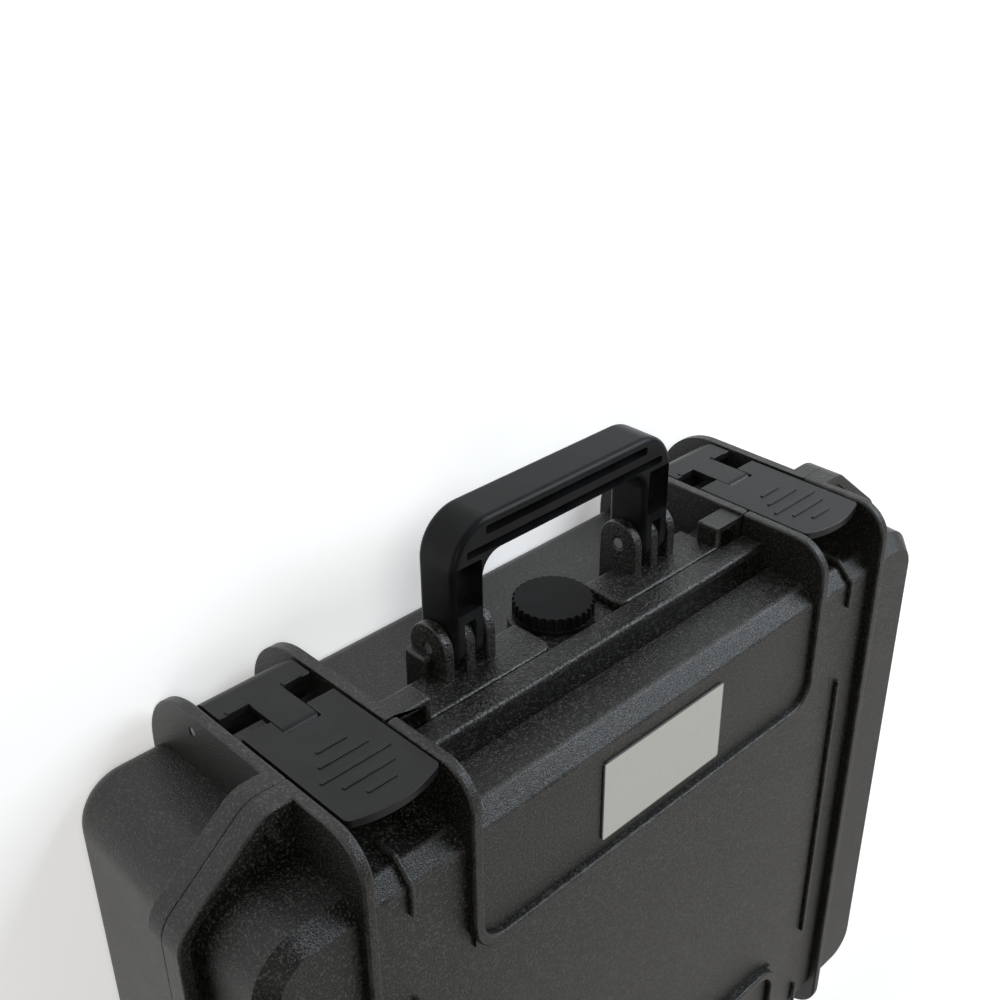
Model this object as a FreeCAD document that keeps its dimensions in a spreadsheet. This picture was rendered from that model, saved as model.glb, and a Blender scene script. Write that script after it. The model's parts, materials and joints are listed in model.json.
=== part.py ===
"""Waterproof hard case: two ribbed shells on hinge pins, two latches, a folding handle and a pressure valve.

Frame: the case lies on its base with the lid upwards. X runs along the front, the handle and the latches
face -Y, and +Z is up. The origin is the middle of the base's footprint, on the surface that it rests on.
A setback is a distance in from the plane of the front (or rear) rib tops. Heights above and drops below
are measured from the parting plane between base and lid.
"""
import FreeCAD, Part
import math
import os
import Sketcher

DOC = FreeCAD.newDocument("hard_case")
SHEET = DOC.addObject("Spreadsheet::Sheet", "Sizes")
SIDES = {"left": -1, "right": 1}
NEAR = 0.001

# Driving sizes in millimetres and degrees, each with its meaning
SIZES = (
    # Envelope
    ("half_depth", 172.5, "rib tops from the middle, front and rear"),
    ("parting_height", 86, "parting plane above the surface"),
    ("lid_height", 46, "rib tops of the lid above the parting plane"),
    ("parting_gap", 0.4, "seam between base and lid"),
    ("lid_half_width", 197, "lid's wall from the middle, at the parting plane"),
    ("flange_overhang", 8.5, "flange edge outside the lid's wall"),
    ("cut_overrun", 2, "how far a cut or a root runs into its neighbour"),
    ("pin_fit", 0.05, "radial clearance of a running pin"),
    # Ribs
    ("rib_inset", 46, "outer rib, from the lid's wall to its face towards the latch"),
    ("bay_width", 43, "bay for a latch or a hinge between two ribs"),
    ("rib_thickness", 5, "thickness of every rib"),
    ("base_rib_round", 30, "corner radius of the ribs round the base"),
    ("lid_rib_round", 17, "corner radius of the ribs over the lid"),
    ("lid_rib_rear_setback", 11, "rear end of the lid's ribs, clear of the hinge line"),
    # Base body
    ("floor_stand", 3, "base floor above the rib feet"),
    ("base_width_inset", 3, "side wall at its floor, inside the lid's wall"),
    ("base_setback", 28, "front wall at its floor"),
    ("base_corner", 20, "plan corner radius at the floor"),
    ("base_floor_round", 9, "round between floor and walls"),
    ("draft_angle", 2, "draft of the base walls"),
    ("shell_wall", 3.6, "wall of both shells"),
    ("cavity_round", 6, "inside round of both shells"),
    ("base_flange", 8.5, "flange thickness of the base"),
    # Flange outline
    ("bay_setback", 20, "flange edge in the latch and hinge bays"),
    ("ear_run", 4, "straight edge of the padlock ear outside its hole"),
    ("ear_slant", 31, "depth of the slanted corner"),
    ("ear_round", 14, "rounds of the slanted corner"),
    ("flange_rear_setback", 11, "rear edge of both flanges"),
    ("padlock_margin", 8, "padlock hole outside the outer rib"),
    ("padlock_setback", 11.5, "padlock hole behind the rib tops"),
    ("padlock_radius", 4.2, "padlock hole"),
    # Handle seat on the base
    ("ledge_setback", 15, "floor of the ledge between the inner ribs"),
    ("ledge_drop", 22, "height of the ledge"),
    ("pad_setback", 11, "raised handle pads"),
    ("pad_start", 20.5, "pad end beside the valve"),
    ("pad_overlap", 1.5, "pad end inside the guard block"),
    ("pad_round", 5, "pad corner beside the valve"),
    ("guard_setback", 1.5, "outer face of the guard block"),
    ("guard_width", 17.5, "guard block beside the inner rib"),
    ("guard_drop", 12, "guard block height"),
    ("guard_wall", 2.6, "walls of the guard block's pocket"),
    ("guard_pocket", 7, "pocket depth in the guard block"),
    # Handle lugs
    ("pivot_lift", 0.8, "handle pivot outside the rib tops"),
    ("pivot_drop", 21.5, "handle pivot below the parting plane"),
    ("pivot_radius", 2.5, "handle pin"),
    ("lug_round", 10.4, "half width of a lug, whose head is round"),
    ("lug_head_share", 0.98, "head radius as a share of the half width"),
    ("lug_thickness", 4.6, "thickness of a lug"),
    ("lug_gap", 0.5, "side gap between lug and handle leg"),
    ("buttress_thickness", 3.5, "web on the outer lug"),
    ("buttress_width", 12, "width of that web"),
    ("buttress_setback", 2.5, "outer end of that web, behind the rib tops"),
    # Handle
    ("handle_half_width", 63.5, "outer faces of the legs"),
    ("leg_width", 16.5, "width of a leg"),
    ("handle_thickness", 21, "thickness of legs and grip"),
    ("handle_rise", 53.4, "grip's outer face from the pivot"),
    ("grip_height", 17, "height of the grip"),
    ("handle_corner", 19, "outer corner radius"),
    ("handle_inner_corner", 9, "inner corner radius"),
    ("handle_edge_round", 3, "softened long edges of the handle"),
    ("slot_depth", 6, "depth of the grip slots"),
    ("slot_corner", 1.2, "corners of slots and pockets"),
    ("upper_slot_width", 3.8, "upper grip slot"),
    ("upper_slot_reach", 46.5, "half length of the upper slot"),
    ("upper_slot_drop", 5.5, "upper slot below the grip's outer face"),
    ("lower_slot_width", 3.4, "lower grip slot"),
    ("lower_slot_reach", 56.5, "half length of the lower slot"),
    ("lower_slot_drop", 12.9, "lower slot below the grip's outer face"),
    ("leg_pocket_margin", 1.8, "rim round the pocket in a leg"),
    ("leg_pocket_start", 15.6, "pocket end above the pivot"),
    ("leg_pocket_length", 21, "length of the pocket in a leg"),
    ("leg_pocket_depth", 8, "depth of the pocket in a leg"),
    # Latch plate
    ("latch_side_gap", 1, "gap between latch and ribs"),
    ("latch_setback", 0.6, "latch top behind the rib tops"),
    ("latch_thickness", 3.4, "thickness of plate and lever"),
    ("latch_barrel", 8, "barrel radius of the latch plate"),
    ("latch_pivot_drop", 53, "latch pin below the parting plane"),
    ("latch_pin_radius", 2, "latch pin"),
    ("pin_end_inset", 0.5, "how far a pin's end lies inside its bore"),
    ("plate_end_drop", 43, "plate end below the parting plane"),
    ("tongue_width", 15, "tongue between the two windows"),
    ("tongue_end_drop", 20, "tongue end below the parting plane"),
    ("tongue_gap", 0.4, "gap round the tongue"),
    ("window_lip_height", 0.5, "lip at the far edge of a window"),
    ("window_lip_depth", 2.4, "lip at the far edge of a window"),
    ("window_lip_width", 9, "lip at the far edge of a window"),
    # Latch lever
    ("lever_knuckle", 3.7, "knuckle radius round the lever pin"),
    ("lever_knuckle_inset", 3, "knuckle ends inside the sides of the lever"),
    ("lever_pin_radius", 1.5, "lever pin"),
    ("lever_start_drop", 29, "lever's far end below the parting plane"),
    ("lever_side_end", 31, "lever corners above the parting plane"),
    ("lever_lip_bulge", 7, "how far the lip's corner lines bow out"),
    ("lever_lip_round", 48, "radius of the bowed lip"),
    ("lever_corner", 3, "corner radius of the lip"),
    ("hook_height", 12.5, "hook leg above the parting plane"),
    ("hook_length", 9.5, "hook leg under the lever"),
    ("hook_thickness", 3.2, "hook leg"),
    ("hook_half_width", 11, "hook leg"),
    ("ridge_height", 0.5, "finger ridges"),
    ("ridge_thickness", 1.6, "finger ridges"),
    ("ridge_first_drop", 3.6, "first ridge below the parting plane"),
    ("ridge_pitch", 7, "spacing of the ridges"),
    ("ridge_longest", 31, "length of the middle ridge"),
    # Lid body
    ("lid_setback", 25, "front wall at the parting plane"),
    ("lid_corner", 22, "plan corner radius"),
    ("lid_face", 41.5, "big face above the parting plane"),
    ("lid_draft_angle", 2.5, "draft of the lid walls"),
    ("lid_bevel", 6.5, "slope between walls and big face"),
    ("lid_land", 5.6, "lid wall at the parting plane, beside the seal"),
    ("panel_face", 43, "framed panel above the parting plane"),
    ("panel_setback", 22, "front of the framed panel"),
    ("panel_bevel", 7.2, "slope at the front of the framed panel"),
    ("frame_setback", 87, "far side of the panel's frame rib"),
    ("frame_round", 16, "corner of the frame rib"),
    ("rib_run", 60, "how far an inner rib runs over the face"),
    ("bar_setback", 11, "front of the lip bar"),
    ("bar_height", 12.5, "lip bar above the parting plane"),
    ("bar_edge_round", 1.8, "softened edge of the lip bar"),
    ("lip_groove_floor", 6.5, "floor of the groove between lip bar and panel, above the parting plane"),
    ("panel_foot", 15.5, "lower edge of the panel's front over that groove, above the parting plane"),
    ("rim_height", 10, "raised rim of the lid's flange"),
    ("rim_width", 4.5, "thickness of that rim"),
    ("channel_floor", 4.5, "channel floor inside the rim"),
    ("ear_top", 8.5, "padlock ear above the parting plane"),
    ("ear_margin", 2, "ear inside the flange edge"),
    ("ear_length", 24, "ear outside the outer rib"),
    # Fins on the lid
    ("fin_offset", 3, "small fins outside the middle of the bay"),
    ("fin_thickness", 2.6, "small fins"),
    ("fin_top", 43.6, "fins above the parting plane"),
    ("fin_foot", 24, "where a bent fin leaves the wall"),
    ("bent_fin_setback", 23.2, "outer face of a bent fin"),
    ("bent_fin_knee", 35, "where a bent fin starts to slope"),
    ("bent_fin_turn", 31.5, "where a bent fin meets the big face"),
    ("bent_fin_end", 46, "end of a bent fin"),
    ("long_fin_setback", 88, "ends of the long fins"),
    # Seal between the shells
    ("seal_width", 4, "width of the seal"),
    ("seal_height", 3.2, "height of the seal"),
    ("seal_gap", 0.1, "gap between a seal and its groove"),
    # Hinge
    ("hinge_setback", 7, "hinge pin in front of the rear rib tops"),
    ("knuckle_radius", 6, "hinge knuckles"),
    ("hinge_pin_radius", 2.5, "hinge pin"),
    ("hinge_side_gap", 1, "knuckles clear of the ribs"),
    ("lid_knuckle_width", 19, "width of the lid's knuckle"),
    ("knuckle_gap", 0.4, "gap between knuckles"),
    ("leaf_height", 12, "height of the webs that carry the knuckles"),
    # Valve
    ("valve_drop", 20, "valve axis below the parting plane"),
    ("valve_boss", 19.6, "radius of the boss round the valve"),
    ("valve_cap_radius", 17.5, "valve cap"),
    ("valve_cap_setback", 7, "cap's outer face behind the rib tops"),
    ("valve_cap_height", 7.5, "height of the cap"),
    ("valve_cap_round", 0.8, "softened rim of the cap"),
    ("valve_cap_skirt", 2.2, "wall of the cap's skirt"),
    ("valve_cap_hollow", 1.7, "hollow under the cap"),
    ("valve_peg_radius", 3, "peg under the cap"),
    ("valve_peg_length", 9, "length of that peg"),
    ("scallop_radius", 1.2, "notches round the cap"),
    ("scallop_height", 5.6, "height of the notches"),
    ("valve_flange_radius", 14.6, "valve body's flange"),
    ("valve_flange_height", 1.7, "valve body's flange"),
    ("valve_stem_radius", 8, "stem through the wall"),
    ("valve_stem_length", 24, "stem behind the flange"),
    ("valve_seal_inner", 10, "sealing ring"),
    ("valve_seal_outer", 12.6, "sealing ring"),
    ("valve_seal_depth", 1.4, "sealing ring"),
    ("valve_nut_radius", 14, "nut inside the base, over its corners"),
    ("valve_nut_height", 6, "nut inside the base"),
    # Name plate
    ("label_half_width", 37.5, "blank plate"),
    ("label_setback", 36.5, "near edge of the blank plate"),
    ("label_depth", 40, "blank plate"),
    ("label_thickness", 0.8, "blank plate"),
    ("label_corner", 2.5, "corners of the blank plate"),
)
RIDGE_LENGTH_SHARES = (0.44, 0.71, 1.0, 0.74, 0.42)
SCALLOP_COUNT = 30
NUT_SIDES = 6
FULL_TURN = 360


class Size:
    """A number together with the sheet formula that it comes from."""

    def __init__(self, value, formula):
        self.value = float(value)
        self.formula = formula

    def __add__(self, other):
        return Size(self.value + value_of(other), f"({self.formula} + {formula_of(other)})")

    def __sub__(self, other):
        return Size(self.value - value_of(other), f"({self.formula} - {formula_of(other)})")

    def __rsub__(self, other):
        return Size(value_of(other) - self.value, f"({formula_of(other)} - {self.formula})")

    def __neg__(self):
        return Size(-self.value, f"(-1 * {self.formula})")

    def __mul__(self, other):
        return Size(self.value * value_of(other), f"({self.formula} * {formula_of(other)})")

    def __rmul__(self, other):
        return self * other

    def __truediv__(self, other):
        return Size(self.value / value_of(other), f"({self.formula} / {formula_of(other)})")


def value_of(number):
    """The plain value of a Size or a number."""
    return number.value if isinstance(number, Size) else float(number)


def formula_of(number):
    """The formula of a Size or a number."""
    return number.formula if isinstance(number, Size) else repr(float(number))


class SizeNames:
    """Every driving size, and the places that follow from them, as attributes."""


def write_sheet():
    """Puts the driving sizes in the sheet and returns them by name."""
    names = SizeNames()
    for row, (name, value, meaning) in enumerate(SIZES, start=1):
        SHEET.set(f"A{row}", name)
        SHEET.set(f"B{row}", str(value))
        SHEET.set(f"C{row}", meaning)
        SHEET.setAlias(f"B{row}", name)
        setattr(names, name, Size(value, f"{SHEET.Name}.{name}"))
    DOC.recompute()
    return names


def add_places(names):
    """Adds the places along X that follow from the lid's width."""
    names.flange_half_width = names.lid_half_width + names.flange_overhang
    names.base_half_width = names.lid_half_width - names.base_width_inset
    names.rib_outer_start = names.lid_half_width - names.rib_inset
    names.rib_outer_end = names.rib_outer_start + names.rib_thickness
    names.rib_inner_start = names.rib_outer_start - names.bay_width - names.rib_thickness
    names.padlock_place = names.rib_outer_end + names.padlock_margin
    names.ear_reach = names.padlock_place + names.ear_run
    names.ear_end = names.rib_outer_end + names.ear_length
    names.guard_start = names.rib_inner_start - names.guard_width
    names.pad_end = names.guard_start + names.pad_overlap
    names.fin_place = names.rib_outer_start - names.bay_width / 2 + names.fin_offset
    return names


s = add_places(write_sheet())


def front(setback):
    """Y of a place behind the front rib tops."""
    return setback - s.half_depth


def rear(setback):
    """Y of a place in front of the rear rib tops."""
    return s.half_depth - setback


def above(height):
    """Z of a place above the parting plane."""
    return s.parting_height + height


def below(drop):
    """Z of a place below the parting plane."""
    return s.parting_height - drop


def span(side, inner, outer):
    """X range of a piece on one side of the middle, the lower value first."""
    return (inner, outer) if side > 0 else (-outer, -inner)


class Ring:
    """A circle in a sketch."""

    def __init__(self, across, up, radius):
        self.across = across
        self.up = up
        self.radius = radius


def rectangle(across_1, up_1, across_2, up_2, radius=None):
    """Corners of a rectangle, rounded where a radius is given."""
    places = ((across_1, up_1), (across_2, up_1), (across_2, up_2), (across_1, up_2))
    return [place if radius is None else (*place, radius) for place in places]


def point_of(corner):
    """A corner as a point of the sketch."""
    return FreeCAD.Vector(value_of(corner[0]), value_of(corner[1]), 0)


class Drawing:
    """Draws outlines in one sketch and binds every place and radius to the sheet."""

    def __init__(self, sketch):
        self.sketch = sketch
        self.constraints = []
        self.formulas = {}

    def tie(self, kind, *where):
        """Notes one constraint without a size."""
        self.constraints.append(Sketcher.Constraint(kind, *where))

    def bind(self, kind, *where, size):
        """Notes one dimension and its formula."""
        self.formulas[len(self.constraints)] = formula_of(size)
        self.constraints.append(Sketcher.Constraint(kind, *where, value_of(size)))

    def finish(self):
        """Puts the noted constraints in the sketch and binds its dimensions."""
        self.sketch.addConstraint(self.constraints)
        for index, formula in self.formulas.items():
            self.sketch.setExpression(f"Constraints[{index}]", formula)

    def place(self, geometry, position, corner):
        """Ties a point to its place from the sketch's origin."""
        self.bind("DistanceX", -1, 1, geometry, position, size=corner[0])
        self.bind("DistanceY", -1, 1, geometry, position, size=corner[1])

    def ring(self, ring):
        """Draws a circle."""
        middle = point_of((ring.across, ring.up))
        circle = Part.Circle(middle, FreeCAD.Vector(0, 0, 1), value_of(ring.radius))
        index = self.sketch.addGeometry(circle, False)
        self.place(index, 3, (ring.across, ring.up))
        self.bind("Radius", index, size=ring.radius)

    def outline(self, corners):
        """Draws a closed outline through corners of the form (across, up) or (across, up, radius)."""
        count = len(corners)
        points = [point_of(corner) for corner in corners]
        starts, ends, arcs = [], [], []
        for i, corner in enumerate(corners):
            into = (points[i] - points[i - 1]).normalize()
            out = (points[(i + 1) % count] - points[i]).normalize()
            radius = value_of(corner[2]) if len(corner) > 2 else 0
            tangent = radius * math.tan(into.getAngle(out) / 2)
            turn = math.copysign(1, into.cross(out).z)
            ends.append(points[i] - into * tangent)
            starts.append(points[i] + out * tangent)
            arcs.append((ends[i] + FreeCAD.Vector(-into.y, into.x, 0) * (radius * turn), turn))
        lines = []
        for i in range(count):
            segment = Part.LineSegment(starts[i], ends[(i + 1) % count])
            lines.append(self.sketch.addGeometry(segment, False))
        for i, corner in enumerate(corners):
            if len(corner) > 2:
                self.rounded(lines[i - 1], lines[i], corner, ends[i], starts[i], arcs[i])
            else:
                self.tie("Coincident", lines[i - 1], 2, lines[i], 1)
                self.place(lines[i], 1, corner)

    def rounded(self, line_in, line_out, corner, end, start, arc_data):
        """Draws an arc tangent to two lines that point at the sharp corner."""
        middle, turn = arc_data
        first, last = (end, start) if turn > 0 else (start, end)
        angles = [math.atan2(p.y - middle.y, p.x - middle.x) for p in (first, last)]
        circle = Part.Circle(middle, FreeCAD.Vector(0, 0, 1), value_of(corner[2]))
        arc = self.sketch.addGeometry(Part.ArcOfCircle(circle, *angles), False)
        sharp = self.sketch.addGeometry(Part.Point(point_of(corner)), True)
        near_in, near_out = (1, 2) if turn > 0 else (2, 1)
        self.tie("Tangent", line_in, 2, arc, near_in)
        self.tie("Tangent", arc, near_out, line_out, 1)
        self.tie("PointOnObject", sharp, 1, line_in)
        self.tie("PointOnObject", sharp, 1, line_out)
        self.place(sharp, 1, corner)
        self.bind("Radius", arc, size=corner[2])


class Piece:
    """One sub-part: a body whose sketches lie on planes beside its own origin planes."""

    made = []

    def __init__(self, label, place=None):
        self.body = DOC.addObject("PartDesign::Body", label)
        self.body.Label = label
        self.label = label
        self.steps = 0
        for axis, size in (place or {}).items():
            self.body.setExpression(f"Placement.Base.{axis}", formula_of(size))
        Piece.made.append(self)

    def new(self, kind, name):
        """A new feature of this body."""
        self.steps += 1
        return self.body.newObject(kind, f"{self.label}_{name}_{self.steps}")

    def datum(self, role):
        """One of this body's own origin planes or axes."""
        return next(datum for datum in self.body.Origin.OriginFeatures if datum.Role == role)

    def sketch(self, plane, offset, shapes):
        """A sketch of outlines and circles, at an offset along the plane's normal."""
        sketch = self.new("Sketcher::SketchObject", "sketch")
        sketch.AttachmentSupport = [(self.datum(f"{plane}_Plane"), "")]
        sketch.MapMode = "FlatFace"
        sketch.setExpression("AttachmentOffset.Base.z", formula_of(offset))
        drawing = Drawing(sketch)
        for shape in shapes:
            if isinstance(shape, Ring):
                drawing.ring(shape)
            else:
                drawing.outline(shape)
        drawing.finish()
        return sketch

    def extrude(self, kind, name, sketch, length, taper):
        """A pad or pocket of one sketch."""
        feature = self.new(kind, name)
        feature.Profile = sketch
        feature.setExpression("Length", formula_of(length))
        if taper is not None:
            feature.setExpression("TaperAngle", formula_of(taper))
        return feature

    def add(self, plane, low, high, *shapes, taper=None):
        """Material between two places along the axis square to the plane."""
        offset = 0 - high if plane == "XZ" else low
        sketch = self.sketch(plane, offset, shapes)
        return self.extrude("PartDesign::Pad", "pad", sketch, high - low, taper)

    def cut(self, plane, low, high, *shapes):
        """A cut between two places along the axis square to the plane."""
        offset = 0 - low if plane == "XZ" else high
        sketch = self.sketch(plane, offset, shapes)
        return self.extrude("PartDesign::Pocket", "pocket", sketch, high - low, None)

    def dress(self, kind, size_name, size, choose):
        """A fillet or chamfer on the edges that choose picks."""
        DOC.recompute()
        base = self.body.Tip
        edges = [f"Edge{i}" for i, edge in enumerate(base.Shape.Edges, start=1) if choose(edge)]
        if not edges:
            raise RuntimeError(f"{self.label}: no edge to dress after {base.Name}")
        feature = self.new(f"PartDesign::{kind}", kind.lower())
        feature.Base = (base, edges)
        feature.setExpression(size_name, formula_of(size))

    def round(self, radius, choose):
        """Rounds edges."""
        self.dress("Fillet", "Radius", radius, choose)

    def bevel(self, size, choose):
        """Slopes edges."""
        self.dress("Chamfer", "Size", size, choose)

    def repeat_round(self, feature, axis, count):
        """Repeats a feature evenly round one of the body's own axes."""
        pattern = self.new("PartDesign::PolarPattern", "pattern")
        pattern.Originals = [feature]
        pattern.Axis = (self.datum(f"{axis}_Axis"), [""])
        pattern.Angle = FULL_TURN
        pattern.Occurrences = count
        self.body.Tip = pattern


def lies(edge, axis, place):
    """True for an edge that lies wholly at one place along an axis."""
    box = edge.BoundBox
    low, high = {"x": (box.XMin, box.XMax), "y": (box.YMin, box.YMax), "z": (box.ZMin, box.ZMax)}[axis]
    return abs(low - value_of(place)) < NEAR and abs(high - value_of(place)) < NEAR


def body_outline(half_width, setback, radius):
    """Rounded plan of a shell's body."""
    return rectangle(-half_width, front(setback), half_width, rear(setback), radius)


def bay_range():
    """X range of a bay together with the two ribs beside it."""
    return s.rib_inner_start, s.rib_outer_end


def ear_corner():
    """X where the slanted front corner of a flange meets the line of the bays."""
    return s.ear_reach + (s.flange_half_width - s.ear_reach) * s.bay_setback / s.ear_slant


def ear_outline(side):
    """Plan of the front corner of a flange, which is the padlock ear."""
    return [
        (side * s.rib_outer_end, front(0)),
        (side * s.ear_reach, front(0), s.ear_round),
        (side * ear_corner(), front(s.bay_setback)),
        (side * s.rib_outer_end, front(s.bay_setback)),
    ]


def flange_outline(middle_setback):
    """Plan of a flange without its ears: bays at the latches and hinges, and slanted corners."""
    start, end = bay_range()
    back = s.flange_rear_setback
    half = [
        (start, front(middle_setback)),
        (start, front(s.bay_setback)),
        (ear_corner(), front(s.bay_setback)),
        (s.flange_half_width, front(s.ear_slant), s.ear_round),
        (s.flange_half_width, rear(back + s.ear_slant), s.ear_round),
        (s.ear_reach, rear(back), s.ear_round),
        (end, rear(back)),
        (end, rear(s.bay_setback)),
        (start, rear(s.bay_setback)),
        (start, rear(back)),
    ]
    mirrored = [(-corner[0], *corner[1:]) for corner in reversed(half)]
    return half + mirrored


def padlock_hole(side):
    """The padlock hole of one side, in plan."""
    return Ring(side * s.padlock_place, front(s.padlock_setback), s.padlock_radius)


def lug_starts():
    """Inner faces of the three lugs that straddle one handle leg, from the middle outwards."""
    leg_start = s.handle_half_width - s.leg_width
    leg_middle = s.handle_half_width - s.leg_width / 2
    return (leg_start - s.lug_gap - s.lug_thickness, leg_middle - s.lug_thickness / 2,
            s.handle_half_width + s.lug_gap)


def hinge_range():
    """X range of the knuckles between two rear ribs."""
    return s.rib_inner_start + s.rib_thickness + s.hinge_side_gap, s.rib_outer_start - s.hinge_side_gap


def bay_middle():
    """X of the middle of a bay."""
    start, end = bay_range()
    return (start + end) / 2


def lid_knuckle_range():
    """X range of the lid's knuckle, in the middle of its bay."""
    return bay_middle() - s.lid_knuckle_width / 2, bay_middle() + s.lid_knuckle_width / 2


def latch_range():
    """X range of a latch between its two ribs."""
    return s.rib_inner_start + s.rib_thickness + s.latch_side_gap, s.rib_outer_start - s.latch_side_gap


def lever_knuckle_range():
    """X range of the lever's knuckles, over the tongue between them."""
    start, end = latch_range()
    return start + s.lever_knuckle_inset, end - s.lever_knuckle_inset


def tongue_range(gap):
    """X range of a latch plate's tongue, widened by a gap on both sides."""
    half = s.tongue_width / 2 + gap
    return bay_middle() - half, bay_middle() + half


def hinge_ring(radius):
    """A circle about the hinge pin."""
    return Ring(rear(s.hinge_setback), s.parting_height, radius)


def pivot_ring(radius):
    """A circle about the handle pin."""
    return Ring(front(-s.pivot_lift), below(s.pivot_drop), radius)


def latch_ring(radius):
    """A circle about the latch pin, whose barrel is flush with the latch's top."""
    return Ring(front(s.latch_setback + s.latch_barrel), below(s.latch_pivot_drop), radius)


def lever_ring(radius):
    """A circle about the lever pin, whose knuckle is flush with the latch's top and the tongue's end."""
    return Ring(front(s.latch_setback + s.lever_knuckle), below(s.tongue_end_drop + s.lever_knuckle), radius)


def on_both_sides(start, end, near, far, radius=None):
    """Two mirrored rectangles in plan."""
    return [rectangle(side * start, near, side * end, far, radius) for side in SIDES.values()]


def add_handle_seat(shell):
    """Ledge, valve boss, pads, guard blocks and lugs on the front of the base."""
    root = front(s.base_setback + s.shell_wall / 2)
    pad_root = front(s.ledge_setback + s.cut_overrun)
    shell.add("XY", below(s.ledge_drop), s.parting_height,
              rectangle(-s.rib_inner_start, front(s.ledge_setback), s.rib_inner_start, root))
    shell.add("XZ", front(s.ledge_setback), root, Ring(0, below(s.valve_drop), s.valve_boss))
    pads = [[
        (side * s.pad_start, below(s.ledge_drop)),
        (side * s.pad_end, below(s.ledge_drop)),
        (side * s.pad_end, s.parting_height),
        (side * s.pad_start, s.parting_height, s.pad_round),
    ] for side in SIDES.values()]
    shell.add("XZ", front(s.pad_setback), pad_root, *pads)
    shell.add("XY", below(s.guard_drop), s.parting_height,
              *on_both_sides(s.guard_start, s.rib_inner_start, front(s.guard_setback), pad_root))
    shell.cut("XY", below(s.guard_pocket), s.parting_height,
              *on_both_sides(s.guard_start + s.guard_wall, s.rib_inner_start - s.guard_wall,
                             front(s.guard_setback + s.guard_wall), front(s.ledge_setback)))
    add_lugs(shell, root)


def add_lugs(shell, root):
    """Three bored, round-headed lugs for each leg of the handle, the outer one with a web."""
    far_edge = below(s.pivot_drop + s.lug_round)
    near_edge = below(s.pivot_drop - s.lug_round)
    head = front(-s.pivot_lift - s.lug_round)
    head_round = s.lug_round * s.lug_head_share
    lug = [(head, far_edge, head_round), (root, far_edge), (root, near_edge), (head, near_edge, head_round)]
    inner, middle, outer = lug_starts()
    end = outer + s.lug_thickness
    for side in SIDES.values():
        shell.add("YZ", *span(side, inner, end), lug)
    shell.add("XY", far_edge, far_edge + s.buttress_width,
              *on_both_sides(end, end + s.buttress_thickness, front(s.buttress_setback), root))
    gaps = on_both_sides(inner + s.lug_thickness, middle, head, front(s.pad_setback))
    gaps += on_both_sides(middle + s.lug_thickness, outer, head, front(s.pad_setback))
    shell.cut("XY", far_edge, near_edge, *gaps)
    for side in SIDES.values():
        shell.cut("YZ", *span(side, inner, end), pivot_ring(s.pivot_radius + s.pin_fit))


def hinge_web(setback):
    """Y range of a web from a shell's rear wall to the middle of its knuckle's wall."""
    reach = s.hinge_setback + (s.knuckle_radius + s.hinge_pin_radius) / 2
    return rear(setback + s.shell_wall / 2), rear(reach)


def add_knuckles(shell, ranges):
    """Bored hinge knuckles over X ranges on both sides."""
    for side in SIDES.values():
        for start, end in ranges:
            shell.add("YZ", *span(side, start, end), hinge_ring(s.knuckle_radius),
                      hinge_ring(s.hinge_pin_radius + s.pin_fit))


def add_base_hinges(shell):
    """Two outer knuckles for each hinge, carried by webs from the rear wall."""
    start, end = hinge_range()
    lid_start, lid_end = lid_knuckle_range()
    ranges = ((start, lid_start - s.knuckle_gap), (lid_end + s.knuckle_gap, end))
    webs = [web for knuckle in ranges for web in on_both_sides(*knuckle, *hinge_web(s.base_setback))]
    shell.add("XY", below(s.leaf_height), below(s.parting_gap), *webs)
    add_knuckles(shell, ranges)


def make_base_shell():
    """The lower half: ribbed, drafted box with a flange, the handle seat and the outer hinge knuckles."""
    shell = Piece("base_shell")
    shell.add("XY", s.floor_stand, s.parting_height,
              body_outline(s.base_half_width, s.base_setback, s.base_corner), taper=s.draft_angle)
    shell.round(s.base_floor_round, lambda edge: lies(edge, "z", s.floor_stand))
    shell.add("XY", below(s.base_flange), s.parting_height, flange_outline(s.ledge_setback))
    rib = [
        (front(0), 0, s.base_rib_round),
        (rear(0), 0, s.base_rib_round),
        (rear(0), s.parting_height),
        (front(0), s.parting_height),
    ]
    for side in SIDES.values():
        for start in (s.rib_inner_start, s.rib_outer_start):
            shell.add("YZ", *span(side, start, start + s.rib_thickness), rib)
    wall = s.shell_wall
    inside_floor = s.floor_stand + wall
    shell.cut("XY", inside_floor, s.parting_height,
              body_outline(s.base_half_width - wall, s.base_setback + wall, s.base_corner - wall))
    shell.round(s.cavity_round, lambda edge: lies(edge, "z", inside_floor))
    add_handle_seat(shell)
    add_base_hinges(shell)
    shell.cut("YZ", -s.rib_outer_end, s.rib_outer_end, latch_ring(s.latch_pin_radius + s.pin_fit))
    valve_face = front(s.ledge_setback)
    shell.cut("XZ", valve_face, front(s.base_setback + wall + s.cut_overrun),
              Ring(0, below(s.valve_drop), s.valve_stem_radius + s.pin_fit))
    shell.cut("XZ", valve_face, valve_face + s.valve_seal_depth,
              Ring(0, below(s.valve_drop), s.valve_seal_outer + s.seal_gap),
              Ring(0, below(s.valve_drop), s.valve_seal_inner - s.seal_gap))


def channel_outline(side):
    """Plan of the channel inside the rim of the lid's flange, on one side."""
    rim = s.rim_width
    back = s.flange_rear_setback
    inner_round = s.ear_round - rim
    return [
        (side * s.rib_outer_end, front(rim)),
        (side * (s.ear_reach - rim / 2), front(rim), inner_round),
        (side * (s.flange_half_width - rim), front(s.ear_slant + rim / 2), inner_round),
        (side * (s.flange_half_width - rim), rear(back + s.ear_slant + rim / 2), inner_round),
        (side * (s.ear_reach - rim / 2), rear(back + rim), inner_round),
        (side * s.rib_outer_end, rear(back + rim)),
    ]


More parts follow.
